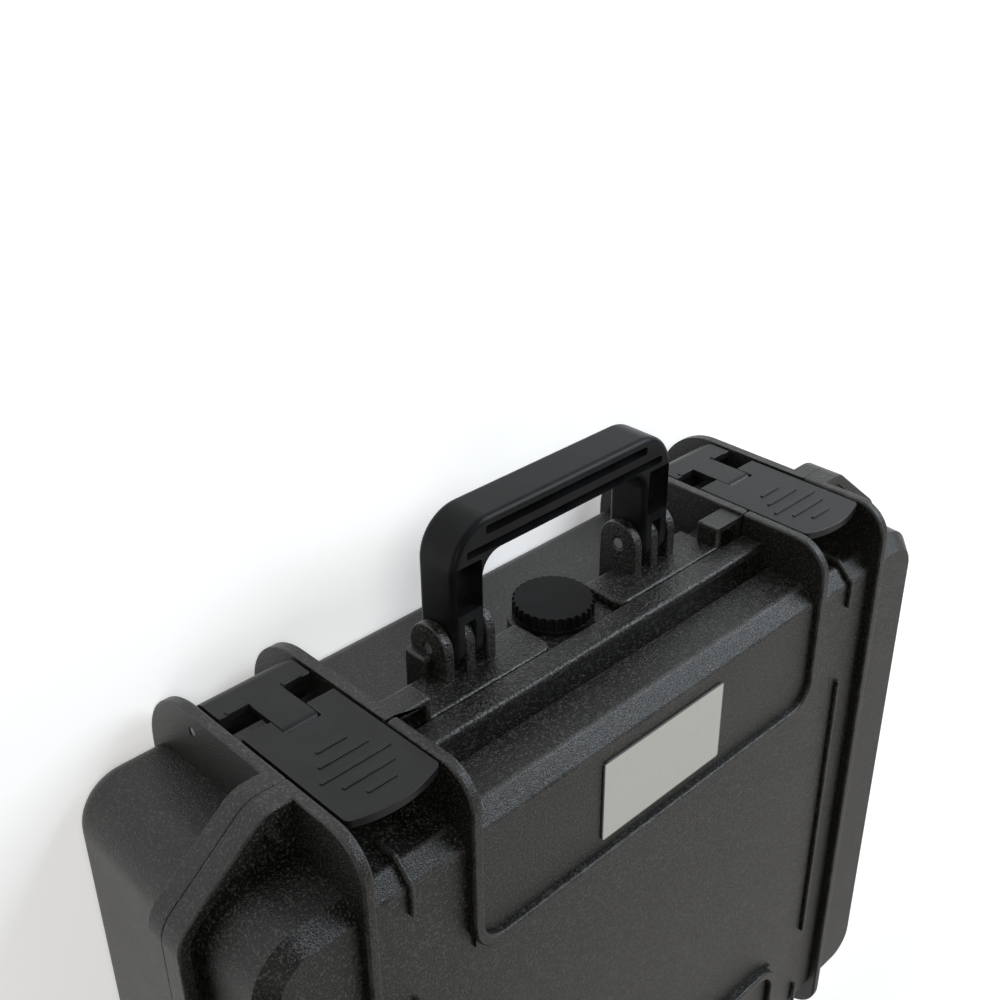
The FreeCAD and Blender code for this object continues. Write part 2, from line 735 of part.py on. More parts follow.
def make_ears(name, side):
    """Padlock ears of one side: the front corners of both flanges, flush with their shells."""
    base_ear = Piece(f"base_ear_{name}")
    base_ear.add("XY", below(s.base_flange), s.parting_height, ear_outline(side), padlock_hole(side))

    lid_ear = Piece(f"lid_ear_{name}")
    bottom = above(s.parting_gap)
    lid_ear.add("XY", bottom, above(s.rim_height), ear_outline(side))
    lid_ear.cut("XY", above(s.channel_floor), above(s.rim_height), channel_outline(side))
    lid_ear.add("XY", bottom, above(s.ear_top), [
        (side * s.rib_outer_end, front(s.ear_margin)),
        (side * s.ear_reach, front(s.ear_margin)),
        (side * s.ear_end, front(s.padlock_setback)),
        (side * s.ear_end, front(s.bay_setback)),
        (side * s.rib_outer_end, front(s.bay_setback)),
    ])
    lid_ear.cut("XY", bottom, above(s.rim_height), padlock_hole(side))


def add_lid_flange(shell):
    """Flange with a raised rim round both ends and the channel inside the rim."""
    shell.add("XY", above(s.parting_gap), above(s.rim_height), flange_outline(s.bar_setback))
    channels = [channel_outline(side) for side in SIDES.values()]
    shell.cut("XY", above(s.channel_floor), above(s.rim_height), *channels)


def add_lid_panels(shell):
    """Framed panels at the front and rear edges, the lip bars under them and the grooves between the two."""
    bottom = above(s.parting_gap)
    reach = s.rib_inner_start + s.rib_thickness / 2
    ends = (front, rear)
    face = above(s.panel_face)
    shell.add("XY", bottom, face, *[
        rectangle(-reach, place(s.panel_setback), reach, place(s.frame_setback - s.rib_thickness / 2))
        for place in ends])
    shell.bevel(s.panel_bevel, lambda edge: lies(edge, "z", face)
                and any(lies(edge, "y", place(s.panel_setback)) for place in ends))
    top = above(s.bar_height)
    root = s.panel_setback + s.cut_overrun
    shell.add("XY", bottom, top, *[
        rectangle(-reach, place(s.bar_setback), reach, place(root)) for place in ends])
    shell.round(s.bar_edge_round, lambda edge: lies(edge, "z", top)
                and any(lies(edge, "y", place(s.bar_setback)) for place in ends))
    shell.cut("XY", above(s.lip_groove_floor), above(s.panel_foot), *[
        rectangle(-s.rib_inner_start, place(s.bar_setback + s.rim_width),
                  s.rib_inner_start, place(s.lid_setback))
        for place in ends])


def add_lid_ribs(shell):
    """Outer ribs from front to rear, inner ribs over both edges, and the frame ribs of the two panels."""
    bottom = above(s.parting_gap)
    top = above(s.lid_height)
    turn = s.lid_rib_round
    near, far = front(0), rear(s.lid_rib_rear_setback)
    inner, width = s.rib_inner_start, s.rib_thickness
    whole = [(near, bottom), (far, bottom), (far, top, turn), (near, top, turn)]
    short = [[(edge, bottom), (stop, bottom), (stop, top), (edge, top, turn)]
             for edge, stop in ((near, front(s.rib_run)), (far, rear(s.rib_run)))]
    for side in SIDES.values():
        shell.add("YZ", *span(side, s.rib_outer_start, s.rib_outer_end), whole)
        shell.add("YZ", *span(side, inner, inner + width), *short)
    frames = [[
        (-(inner + width), place(s.rib_run)),
        (-(inner + width), place(s.frame_setback), s.frame_round),
        (inner + width, place(s.frame_setback), s.frame_round),
        (inner + width, place(s.rib_run)),
        (inner, place(s.rib_run)),
        (inner, place(s.frame_setback - width), s.frame_round - width),
        (-inner, place(s.frame_setback - width), s.frame_round - width),
        (-inner, place(s.rib_run)),
    ] for place in (front, rear)]
    shell.add("XY", above(s.lid_face - s.cut_overrun), top, *frames)


def add_lid_fins(shell):
    """A bent fin over both edges of every bay line, and a long fin between them."""
    root = above(s.lid_face - s.cut_overrun)
    shell.add("XY", root, above(s.fin_top),
              *on_both_sides(s.fin_place, s.fin_place + s.fin_thickness,
                             front(s.long_fin_setback), rear(s.long_fin_setback)))
    bent = [[
        (place(s.bent_fin_setback), above(s.fin_foot)),
        (place(s.bent_fin_setback), above(s.bent_fin_knee)),
        (place(s.bent_fin_turn), above(s.fin_top)),
        (place(s.bent_fin_end), above(s.fin_top)),
        (place(s.bent_fin_end), root),
        (place(s.lid_setback + s.lid_bevel), root),
        (place(s.lid_setback + s.cut_overrun), above(s.fin_foot)),
    ] for place in (front, rear)]
    for side in SIDES.values():
        shell.add("YZ", *span(side, s.fin_place, s.fin_place + s.fin_thickness), *bent)


def add_lid_hinges(shell):
    """One knuckle for each hinge, carried by a web from the rear wall."""
    knuckle = lid_knuckle_range()
    shell.add("XY", above(s.parting_gap), above(s.leaf_height),
              *on_both_sides(*knuckle, *hinge_web(s.lid_setback)))
    add_knuckles(shell, (knuckle,))


def seal_outlines(gap):
    """Outer and inner plan of the seal under the lid's wall, widened by a gap on both sides."""
    half = s.seal_width / 2 + gap
    return [
        body_outline(s.lid_half_width + half, s.lid_setback - half, s.lid_corner + half),
        body_outline(s.lid_half_width - half, s.lid_setback + half, s.lid_corner - half),
    ]


def make_lid_shell():
    """The upper half: bevelled box with rimmed flange, lip bars, ribs, framed panels, fins and knuckles."""
    shell = Piece("lid_shell")
    bottom = above(s.parting_gap)
    face = above(s.lid_face)
    add_lid_flange(shell)
    shell.add("XY", bottom, face, body_outline(s.lid_half_width, s.lid_setback, s.lid_corner),
              taper=-s.lid_draft_angle)
    shell.bevel(s.lid_bevel, lambda edge: lies(edge, "z", face))
    add_lid_panels(shell)
    add_lid_ribs(shell)
    land = s.lid_land
    ceiling = above(s.lid_face - s.shell_wall)
    shell.cut("XY", bottom, ceiling,
              body_outline(s.lid_half_width - land, s.lid_setback + land, s.lid_corner - land))
    shell.round(s.cavity_round, lambda edge: lies(edge, "z", ceiling))
    add_lid_fins(shell)
    add_lid_hinges(shell)
    shell.cut("XY", s.parting_height, s.parting_height + s.seal_height, *seal_outlines(s.seal_gap))


def make_lid_seal():
    """Rubber ring in the lid's groove, resting on the base's flange."""
    seal = Piece("lid_seal")
    seal.add("XY", s.parting_height, s.parting_height + s.seal_height, *seal_outlines(0))


def make_name_plate():
    """Blank plate on the front panel of the lid."""
    plate = Piece("name_plate")
    outline = rectangle(-s.label_half_width, front(s.label_setback), s.label_half_width,
                        front(s.label_setback + s.label_depth), s.label_corner)
    plate.add("XY", above(s.panel_face), above(s.panel_face + s.label_thickness), outline)


def make_pins(name, side):
    """Hinge, latch, lever and handle pins of one side."""
    inset = s.pin_end_inset
    lugs = lug_starts()
    bores = (
        ("hinge_pin", hinge_range(), hinge_ring(s.hinge_pin_radius)),
        ("latch_pin", bay_range(), latch_ring(s.latch_pin_radius)),
        ("lever_pin", lever_knuckle_range(), lever_ring(s.lever_pin_radius)),
        ("handle_pin", (lugs[0], lugs[2] + s.lug_thickness), pivot_ring(s.pivot_radius)),
    )
    for kind, (start, end), ring in bores:
        pin = Piece(f"{kind}_{name}")
        pin.add("YZ", *span(side, start + inset, end - inset), ring)


def make_latch_plate(name, side):
    """Far half of a latch: barrel on its pin, plate, lips beside the windows and the tongue."""
    plate = Piece(f"latch_plate_{name}")
    across = span(side, *latch_range())
    top = front(s.latch_setback)
    under = front(s.latch_setback + s.latch_thickness)
    tongue = span(side, *tongue_range(0))
    plate.add("YZ", *across, latch_ring(s.latch_barrel))
    plate.add("YZ", *across, rectangle(top, below(s.latch_pivot_drop), under, below(s.plate_end_drop)))
    plate.add("YZ", *tongue, rectangle(top, below(s.latch_pivot_drop), under,
                                       below(s.tongue_end_drop + s.lever_knuckle)))
    plate.add("YZ", *tongue, lever_ring(s.lever_knuckle))
    start, end = latch_range()
    tongue_start, tongue_end = tongue_range(s.tongue_gap)
    lip_low = below(s.plate_end_drop)
    for inner, outer in ((tongue_start - s.window_lip_width, tongue_start),
                         (tongue_end, tongue_end + s.window_lip_width)):
        low, high = span(side, inner, outer)
        plate.add("XZ", top - s.window_lip_height, under,
                  rectangle(low, lip_low - s.window_lip_depth, high, lip_low))
    plate.cut("YZ", *span(side, start, end), latch_ring(s.latch_pin_radius + s.pin_fit))
    plate.cut("YZ", *tongue, lever_ring(s.lever_pin_radius + s.pin_fit))


def make_latch_lever(name, side):
    """Pull lever of a latch: slotted over the tongue, with finger ridges, a bowed lip and a hook leg."""
    lever = Piece(f"latch_lever_{name}")
    start, end = latch_range()
    middle = bay_middle()
    top = front(s.latch_setback)
    under = front(s.latch_setback + s.latch_thickness)
    corner_z = above(s.lever_side_end)
    plan = [
        (side * start, below(s.lever_start_drop)),
        (side * end, below(s.lever_start_drop)),
        (side * end, corner_z, s.lever_corner),
        (side * middle, corner_z + s.lever_lip_bulge, s.lever_lip_round),
        (side * start, corner_z, s.lever_corner),
    ]
    lever.add("XZ", top, under, plan)
    slot_start, slot_end = tongue_range(s.tongue_gap)
    knuckle_start, knuckle_end = lever_knuckle_range()
    for inner, outer in ((knuckle_start, slot_start), (slot_end, knuckle_end)):
        lever.add("YZ", *span(side, inner, outer), lever_ring(s.lever_knuckle))
    low, high = span(side, slot_start, slot_end)
    lever.cut("XZ", top, under, rectangle(low, below(s.lever_start_drop), high,
                                          below(s.tongue_end_drop - s.tongue_gap)))
    lever.cut("YZ", *span(side, knuckle_start, knuckle_end), lever_ring(s.lever_pin_radius + s.pin_fit))
    low, high = span(side, middle - s.hook_half_width, middle + s.hook_half_width)
    lever.add("XY", above(s.hook_height), above(s.hook_height + s.hook_thickness),
              rectangle(low, top, high, under + s.hook_length))
    first = below(s.ridge_first_drop)
    for number, share in enumerate(RIDGE_LENGTH_SHARES):
        half = s.ridge_longest * share / 2
        low, high = span(side, middle - half, middle + half)
        height = first + s.ridge_pitch * number
        lever.add("XZ", top - s.ridge_height, under,
                  rectangle(low, height - s.ridge_thickness / 2, high, height + s.ridge_thickness / 2))


def make_carry_handle():
    """U-shaped handle: grip with two slots on each face, legs with pockets, forked over the middle lugs."""
    handle = Piece("carry_handle")
    half = s.handle_half_width
    inner = half - s.leg_width
    pivot_y = front(-s.pivot_lift)
    outer_y = pivot_y - s.handle_rise
    inner_y = outer_y + s.grip_height
    bottom = below(s.pivot_drop + s.handle_thickness / 2)
    top = below(s.pivot_drop - s.handle_thickness / 2)
    plan = [
        (-half, pivot_y),
        (-half, outer_y, s.handle_corner),
        (half, outer_y, s.handle_corner),
        (half, pivot_y),
        (inner, pivot_y),
        (inner, inner_y, s.handle_inner_corner),
        (-inner, inner_y, s.handle_inner_corner),
        (-inner, pivot_y),
    ]
    handle.add("XY", bottom, top, plan)
    for side in SIDES.values():
        handle.add("YZ", *span(side, inner, half), pivot_ring(s.handle_thickness / 2))
    handle.round(s.handle_edge_round, lambda edge: (lies(edge, "z", bottom) or lies(edge, "z", top))
                 and edge.BoundBox.YMin < value_of(pivot_y) - NEAR)
    slots = [
        rectangle(-reach, outer_y + drop - width / 2, reach, outer_y + drop + width / 2, s.slot_corner)
        for reach, drop, width in (
            (s.upper_slot_reach, s.upper_slot_drop, s.upper_slot_width),
            (s.lower_slot_reach, s.lower_slot_drop, s.lower_slot_width))]
    pocket_y = pivot_y - s.leg_pocket_start
    pockets = on_both_sides(inner + s.leg_pocket_margin, half - s.leg_pocket_margin,
                            pocket_y - s.leg_pocket_length, pocket_y, s.slot_corner)
    for depth, shapes in ((s.slot_depth, slots), (s.leg_pocket_depth, pockets)):
        handle.cut("XY", bottom, bottom + depth, *shapes)
        handle.cut("XY", top - depth, top, *shapes)
    fork_start = lug_starts()[1]
    handle.cut("XY", bottom, top, *on_both_sides(
        fork_start - s.lug_gap, fork_start + s.lug_thickness + s.lug_gap,
        pivot_y - s.lug_round - s.lug_gap, pivot_y + s.handle_thickness / 2))
    handle.cut("YZ", -half, half, pivot_ring(s.pivot_radius + s.pin_fit))


def make_valve():
    """Pressure valve: scalloped cap on a peg, flanged body through the wall, sealing ring and nut."""
    height = below(s.valve_drop)
    seat = front(s.ledge_setback)
    cap = Piece("valve_cap", {"y": front(s.valve_cap_setback), "z": height})
    cap_top = s.valve_cap_height
    cap.add("XZ", 0, cap_top, Ring(0, 0, s.valve_cap_radius))
    cap.round(s.valve_cap_round, lambda edge: lies(edge, "y", 0))
    ceiling = cap_top - s.valve_cap_hollow
    cap.cut("XZ", ceiling, cap_top, Ring(0, 0, s.valve_cap_radius - s.valve_cap_skirt))
    cap.add("XZ", ceiling, ceiling + s.valve_peg_length, Ring(0, 0, s.valve_peg_radius))
    notch = cap.cut("XZ", 0, s.scallop_height, Ring(0, s.valve_cap_radius, s.scallop_radius))
    cap.repeat_round(notch, "Y", SCALLOP_COUNT)

    body = Piece("valve_body", {"y": seat, "z": height})
    body.add("XZ", -s.valve_flange_height, 0, Ring(0, 0, s.valve_flange_radius))
    body.add("XZ", 0, s.valve_stem_length, Ring(0, 0, s.valve_stem_radius))
    body.cut("XZ", -s.valve_flange_height, s.valve_peg_length, Ring(0, 0, s.valve_peg_radius + s.pin_fit))

    ring = Piece("valve_seal", {"y": seat, "z": height})
    ring.add("XZ", 0, s.valve_seal_depth, Ring(0, 0, s.valve_seal_outer), Ring(0, 0, s.valve_seal_inner))

    nut = Piece("valve_nut", {"y": front(s.base_setback + s.shell_wall), "z": height})
    turns = [2 * math.pi * i / NUT_SIDES for i in range(NUT_SIDES)]
    corners = [(s.valve_nut_radius * math.cos(a), s.valve_nut_radius * math.sin(a)) for a in turns]
    nut.add("XZ", 0, s.valve_nut_height, corners, Ring(0, 0, s.valve_stem_radius + s.pin_fit))


def check_and_write():
    """Checks every object of the document, then writes one file per sub-part."""
    DOC.recompute()
    failed = [thing.Name for thing in DOC.Objects if "Invalid" in thing.State or "Error" in thing.State]
    for piece in Piece.made:
        shape = piece.body.Shape
        if shape.isNull() or not shape.isValid() or len(shape.Solids) != 1:
            failed.append(piece.label)
    if failed:
        raise RuntimeError("failed: " + ", ".join(failed))
    os.makedirs("parts", exist_ok=True)
    for piece in Piece.made:
        shape = piece.body.Shape
        shape.exportStep(f"parts/{piece.label}.step")
        print(f"{piece.label}: {shape.Volume:.1f} mm3")


make_base_shell()
make_lid_shell()
make_lid_seal()
make_name_plate()
for side_name, side_sign in SIDES.items():
    make_ears(side_name, side_sign)
    make_pins(side_name, side_sign)
    make_latch_plate(side_name, side_sign)
    make_latch_lever(side_name, side_sign)
make_carry_handle()
make_valve()
check_and_write()
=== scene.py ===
"""Looks of a waterproof hard case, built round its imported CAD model.

The file is laid out as an add-on: a property group holds the sizes and colours, one operator finishes each
group of pieces and one sets the stage, and main() runs them in order. Everything is in metres, in the CAD
frame: the case lies on its base, X runs along the front, handle and latches face -Y, and +Z is up.
"""

import json
import math

import bmesh
import bpy
from bpy.props import FloatProperty, FloatVectorProperty, PointerProperty
from mathutils import Matrix, Vector

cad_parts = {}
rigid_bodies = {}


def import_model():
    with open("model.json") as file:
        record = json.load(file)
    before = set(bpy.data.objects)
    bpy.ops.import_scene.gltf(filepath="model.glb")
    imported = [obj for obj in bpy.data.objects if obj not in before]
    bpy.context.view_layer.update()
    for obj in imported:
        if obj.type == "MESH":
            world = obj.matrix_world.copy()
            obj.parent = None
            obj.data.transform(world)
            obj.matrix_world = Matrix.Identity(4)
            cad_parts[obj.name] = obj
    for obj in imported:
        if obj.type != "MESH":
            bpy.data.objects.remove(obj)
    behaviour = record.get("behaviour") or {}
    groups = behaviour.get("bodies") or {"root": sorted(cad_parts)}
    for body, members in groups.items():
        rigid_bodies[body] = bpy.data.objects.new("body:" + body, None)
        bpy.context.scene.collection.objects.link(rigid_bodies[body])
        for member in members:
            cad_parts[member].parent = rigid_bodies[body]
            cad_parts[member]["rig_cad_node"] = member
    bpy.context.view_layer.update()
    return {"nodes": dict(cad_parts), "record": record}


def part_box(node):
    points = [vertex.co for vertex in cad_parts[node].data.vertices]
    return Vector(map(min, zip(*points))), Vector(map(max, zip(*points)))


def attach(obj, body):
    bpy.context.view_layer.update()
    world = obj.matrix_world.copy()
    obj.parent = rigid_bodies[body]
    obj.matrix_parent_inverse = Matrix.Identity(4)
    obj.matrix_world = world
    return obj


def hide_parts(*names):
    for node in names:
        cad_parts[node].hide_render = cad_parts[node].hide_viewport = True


bl_info = {
    "name": "Waterproof hard case",
    "version": (1, 0, 0),
    "blender": (4, 5, 0),
    "location": "3D View > Sidebar > Hard case",
    "description": "Rounds the moulded edges of a hard case and gives every piece its finish",
    "category": "Object",
}

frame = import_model()
SIDES = ("left", "right")
BODY_OF = {node: body for body, nodes in frame["record"]["behaviour"]["bodies"].items() for node in nodes}

# Camera, solved on the straight edges of the photographed case
CAMERA_PLACE = Vector((0.3357, -0.4714, 0.3844))
CAMERA_RIGHT = Vector((-0.7181, 0.0094, 0.6958))
CAMERA_BACK = Vector((0.6038, -0.4885, 0.6298))
SENSOR_WIDTH = 36.0
LENS = 47.31

# Softboxes: name, place, size, power in watts, tint, and whether gloss mirrors it
WARM = (1.0, 0.98, 0.94)
COOL = (0.84, 0.92, 1.0)
LAMP_TARGET = Vector((0.0, 0.0, 0.1))
LAMPS = (
    ("key_light", Vector((1.1, -1.9, 1.9)), 1.0, 34.0, WARM, False),
    ("edge_light", Vector((1.9, -0.5, 1.75)), 1.0, 8.0, WARM, True),
    ("rear_light", Vector((-1.3, 1.05, 1.5)), 3.0, 20.0, WARM, True),
    ("front_light", Vector((-1.3, -1.35, 1.1)), 1.2, 36.0, COOL, True),
)

# Surroundings: their strength as light, and as the camera sees them
WHITE = (1.0, 1.0, 1.0, 1.0)
WORLD_LIGHT = 0.07
WORLD_SEEN = 1.0

# Floor, just under the case, that stays white where the lamps no longer reach it
FLOOR_SIZE = 12.0
FLOOR_PLACE = (0.0, 0.0, -0.0002)
NEAR_GLOW = 0.33
FAR_GLOW = 0.7
GLOW_RANGE = (0.7, 2.2)

# Rounding of moulded edges
EDGE = "edge"
ROUNDED = 1
MERGE_DISTANCE = 1e-6
FLAT = math.radians(0.3)
SHARP = math.radians(35)
STRAIGHT = 0.8
ROOM_PLACES = (0.1, 0.5, 0.9)
ROOM_SHARE = 0.45
LEAST_SHARE = 0.15
BEVEL_SEGMENTS = 3

# Middle of a noise's values, and the wear and painted highlight on rounded edges as limits of its own noise
NOISE_MIDDLE = 0.5
WEAR_AND_HIGHLIGHT_LIMITS = (0.30, 0.75)
WEAR_AND_HIGHLIGHT_DETAIL = 5.0

# Shell finish: blob sizes, darkest and lightest tint, limits of tone and of the painted glint specks, and
# spread of the roughness
SHELL_CLOUD = 0.035
SHELL_WEAR_AND_HIGHLIGHT = 0.007
SHELL_TINTS = (0.45, 1.55)
TONE_LIMITS = (0.3, 0.7)
GLINT_SPECK_LIMITS = (0.50, 0.72)
SHELL_GRAIN_SPREAD = 0.16
SHELL_CLOUD_SPREAD = 0.1
SHELL_POLISH = 0.06

# Where the coarse grain of the handle pads sets in and is full: along Y, up Z, and across X as a square
PAD_ALONG = (-0.1500, -0.1560)
PAD_UP = (0.060, 0.064)
PAD_ACROSS_SQUARED = (0.0078, 0.0074)

# Satin finish of latches, handle and valve
SATIN_CLOUD = 0.012
SATIN_WEAR_AND_HIGHLIGHT = 0.005
SATIN_TINTS = (0.7, 1.3)
SATIN_LIMITS = (0.35, 0.65)
SATIN_CLOUD_SPREAD = 0.14
SATIN_GRAIN_SPREAD = 0.08
SATIN_POLISH = 0.05

# Rubber of the seals
RUBBER_CLOUD = 0.004
RUBBER_TINTS = (0.7, 1.5)
RUBBER_ROUGHNESS = 0.7
RUBBER_SPREAD = 0.2
RUBBER_DEPTH = 0.00003

# Steel of the pins, whose grinding marks are a hundred times longer than wide
STEEL_MARKS = (40.0, 4000.0, 4000.0)
STEEL_TINTS = (0.8, 1.1)
STEEL_ROUGHNESS = 0.3
STEEL_SPREAD = 0.15

# Film of the plate, with the distances from its edge between which the dark line ends
PLATE_LINE = (0.0009, 0.0005)
PLATE_LINE_COLOUR = (0.05, 0.05, 0.05, 1.0)
PLATE_CLOUD = 0.003
PLATE_TINTS = (0.94, 1.06)
PLATE_ROUGHNESS = 0.42
PLATE_SPREAD = 0.1
PLATE_DEPTH = 0.000006


def length(name, default, description):
    """A length that a user can change."""
    return FloatProperty(name=name, description=description, default=default, min=0.0,
                         unit="LENGTH", precision=5)


def share(name, default, description):
    """A share from none to all that a user can change."""
    return FloatProperty(name=name, description=description, default=default, min=0.0, max=1.0,
                         subtype="FACTOR")


def colour(name, default, description):
    """A colour that a user can change."""
    return FloatVectorProperty(name=name, description=description, default=default, min=0.0, max=1.0,
                               size=3, subtype="COLOR")


class CaseSettings(bpy.types.PropertyGroup):
    """Sizes and colours of the finishes."""

    shell_colour: colour("Shell colour", (0.0047, 0.0045, 0.0040), "Plastic of base and lid")
    # Colour of the rounded edges of base and lid: partly wear, partly a painted highlight.
    shell_wear_and_highlight_colour: colour("Shell wear and highlight colour", (0.030, 0.0295, 0.028), "Rubbed edges of base and lid, with painted highlight")
    # Light specks are painted glints: sheen painted into the colour of the grain.
    glint_speck_colour: colour("Glint speck colour", (0.040, 0.039, 0.034), "Painted glint specks in the grain of base and lid")
    glint_speck_size: length("Glint speck size", 0.0010, "Size of those specks")
    shell_roughness: share("Shell roughness", 0.40, "Roughness of base and lid")
    shell_gloss: share("Shell gloss", 0.46, "Specular level of base and lid")
    shell_grain: length("Shell grain", 0.00065, "Size of the moulded grain on base and lid")
    shell_grain_depth: length("Shell grain depth", 0.00030, "Depth of that grain")
    shell_round: length("Shell edge round", 0.0013, "Radius of the edges of base and lid")
    pad_grain: length("Pad grain", 0.0014, "Size of the coarse grain on the handle pads")
    pad_grain_depth: length("Pad grain depth", 0.0005, "Depth of that grain")
    latch_colour: colour("Latch colour", (0.0068, 0.0068, 0.0070), "Plastic of the latches")
    latch_roughness: share("Latch roughness", 0.38, "Roughness of the latches")
    latch_gloss: share("Latch gloss", 0.26, "Specular level of the latches")
    latch_round: length("Latch edge round", 0.0006, "Radius of the edges of the latches")
    handle_colour: colour("Handle colour", (0.0058, 0.0061, 0.0067), "Plastic of the handle")
    handle_roughness: share("Handle roughness", 0.36, "Roughness of the handle")
    handle_gloss: share("Handle gloss", 0.13, "Specular level of the handle")
    handle_round: length("Handle edge round", 0.0005, "Radius of the edges of the handle's slots")
    valve_colour: colour("Valve colour", (0.0052, 0.0052, 0.0056), "Plastic of the valve")
    valve_roughness: share("Valve roughness", 0.40, "Roughness of the valve")
    valve_gloss: share("Valve gloss", 0.07, "Specular level of the valve")
    valve_round: length("Valve edge round", 0.0003, "Radius of the notches' edges")
    # Colour of the rounded edges of the satin pieces: partly wear, partly a painted highlight.
    satin_wear_and_highlight_colour: colour("Satin wear and highlight colour", (0.026, 0.027, 0.029), "Rubbed edges of the satin pieces, with painted highlight")
    satin_grain: length("Satin grain", 0.0006, "Size of the fine grain on the satin pieces")
    satin_grain_depth: length("Satin grain depth", 0.000012, "Depth of that grain")
    seal_colour: colour("Seal colour", (0.012, 0.012, 0.012), "Rubber of the seals")
    pin_colour: colour("Pin colour", (0.55, 0.55, 0.56), "Steel of the pins")
    plate_colour: colour("Plate colour", (0.43, 0.425, 0.39), "Film of the blank plate")
    plate_round: length("Plate edge round", 0.0002, "Radius of the plate's edges")
    floor_colour: colour("Floor colour", (0.86, 0.86, 0.86), "Floor under the case")


class Value:
    """A socket. Arithmetic on it adds Math nodes to its material."""

    def __init__(self, finish, socket):
        self.finish = finish
        self.socket = socket

    def math(self, operation, first, second):
        """One Math node."""
        return self.finish.node("ShaderNodeMath", {"operation": operation}, {0: first, 1: second})

    def __add__(self, other):
        return self.math("ADD", self, other)

    def __radd__(self, other):
        return self.math("ADD", other, self)

    def __sub__(self, other):
        return self.math("SUBTRACT", self, other)

    def __rsub__(self, other):
        return self.math("SUBTRACT", other, self)

    def __mul__(self, other):
        return self.math("MULTIPLY", self, other)

    def __rmul__(self, other):
        return self.math("MULTIPLY", other, self)


class Finish:
    """A material that is built node by node on the piece's own Object coordinates."""

    def __init__(self, name):
        self.material = bpy.data.materials.new(name)
        self.material.use_nodes = True
        self.tree = self.material.node_tree
        self.tree.nodes.clear()
        self.place = self.node("ShaderNodeTexCoord", output="Object")

    def node(self, kind, settings=None, inputs=None, output=0):
        """Adds one node, sets its settings first and then the values or links of its sockets."""
        made = self.tree.nodes.new(kind)
        for name, value in (settings or {}).items():
            setattr(made, name, value)
        for name, value in (inputs or {}).items():
            if isinstance(value, Value):
                self.tree.links.new(value.socket, made.inputs[name])
            else:
                made.inputs[name].default_value = value
        return Value(self, made.outputs[output])

    def noise(self, size, detail):
        """Cloudy noise whose blobs have about the given size."""
        inputs = {"Vector": self.place, "Scale": 1 / size, "Detail": detail}
        return self.node("ShaderNodeTexNoise", None, inputs)

    def step(self, value, low, high):
        """A smooth step from 0 to 1 between two limits."""
        return self.node("ShaderNodeMapRange", {"interpolation_type": "SMOOTHSTEP"},
                         {"Value": value, "From Min": low, "From Max": high})

    def mix(self, factor, first, second):
        """A colour between two colours."""
        settings = {"data_type": "RGBA"}
        return self.node("ShaderNodeMix", settings, {0: factor, 6: first, 7: second}, output=2)

    def axes(self):
        """The three coordinates of the place."""
        return [self.node("ShaderNodeSeparateXYZ", None, {0: self.place}, output=axis) for axis in "XYZ"]

    def wear_and_highlight(self, size):
        """Broken wear and painted highlight on the faces that the rounding of edges has made."""
        edge = self.node("ShaderNodeAttribute", {"attribute_name": EDGE}, output="Fac")
        return edge * self.step(self.noise(size, detail=WEAR_AND_HIGHLIGHT_DETAIL), *WEAR_AND_HIGHLIGHT_LIMITS)

    def bump(self, height, depth):
        """A surface normal for a height from 0 to 1."""
        return self.node("ShaderNodeBump", None, {"Height": height, "Distance": depth, "Strength": 1.0})

    def surface(self, **sockets):
        """Ends the material with a Principled shader, whose sockets are named with _ for a space."""
        inputs = {name.replace("_", " "): value for name, value in sockets.items()}
        shader = self.node("ShaderNodeBsdfPrincipled", None, inputs)
        self.node_output(shader)
        return self.material

    def node_output(self, shader):
        """Links a shader to the material's output."""
        made = self.tree.nodes.new("ShaderNodeOutputMaterial")
        self.tree.links.new(shader.socket, made.inputs["Surface"])


def tinted(rgb, factor=1.0):
    """A colour made lighter or darker, with full alpha."""
    return (*(min(1.0, part * factor) for part in rgb), 1.0)


def shades(rgb, factors):
    """The dark and the light shade of a colour."""
    return [tinted(rgb, factor) for factor in factors]


def spread(noise, amount):
    """A change of up to half an amount either way, that follows a noise."""
    return amount * (noise - NOISE_MIDDLE)


def shell_finish(settings):
    """Grained dark plastic of base and lid, coarser on the handle pads, with painted glint specks and
    rounded edges lightened by wear and a painted highlight.
    """
    finish = Finish("shell_plastic")
    across, along, up = finish.axes()
    fine = finish.noise(settings.shell_grain, detail=3.0)
    coarse = finish.noise(settings.pad_grain, detail=2.0)
    cloud = finish.noise(SHELL_CLOUD, detail=3.0)
    pad = finish.step(along, *PAD_ALONG)
    pad = pad * finish.step(up, *PAD_UP) * finish.step(across * across, *PAD_ACROSS_SQUARED)
    relief = fine * (1 - pad) * (settings.shell_grain_depth / settings.pad_grain_depth) + coarse * pad
    wear_and_highlight = finish.wear_and_highlight(SHELL_WEAR_AND_HIGHLIGHT)
    tone = finish.step(0.5 * cloud + 0.5 * fine, *TONE_LIMITS)
    base = finish.mix(tone, *shades(settings.shell_colour, SHELL_TINTS))
    # Painted glints: sparse light specks that stand in for the sheen of the grain.
    glint_speck = finish.step(finish.noise(settings.glint_speck_size, detail=1.0), *GLINT_SPECK_LIMITS)
    base = finish.mix(glint_speck, base, tinted(settings.glint_speck_colour))
    roughness = settings.shell_roughness + spread(fine, SHELL_GRAIN_SPREAD)
    roughness = roughness + spread(cloud, SHELL_CLOUD_SPREAD)
    # Rounded edges are lightened, partly as wear and partly as a painted highlight.
    return finish.surface(
        Base_Color=finish.mix(wear_and_highlight, base, tinted(settings.shell_wear_and_highlight_colour)),
        Roughness=roughness - SHELL_POLISH * wear_and_highlight,
        Normal=finish.bump(relief, settings.pad_grain_depth),
        Specular_IOR_Level=settings.shell_gloss)


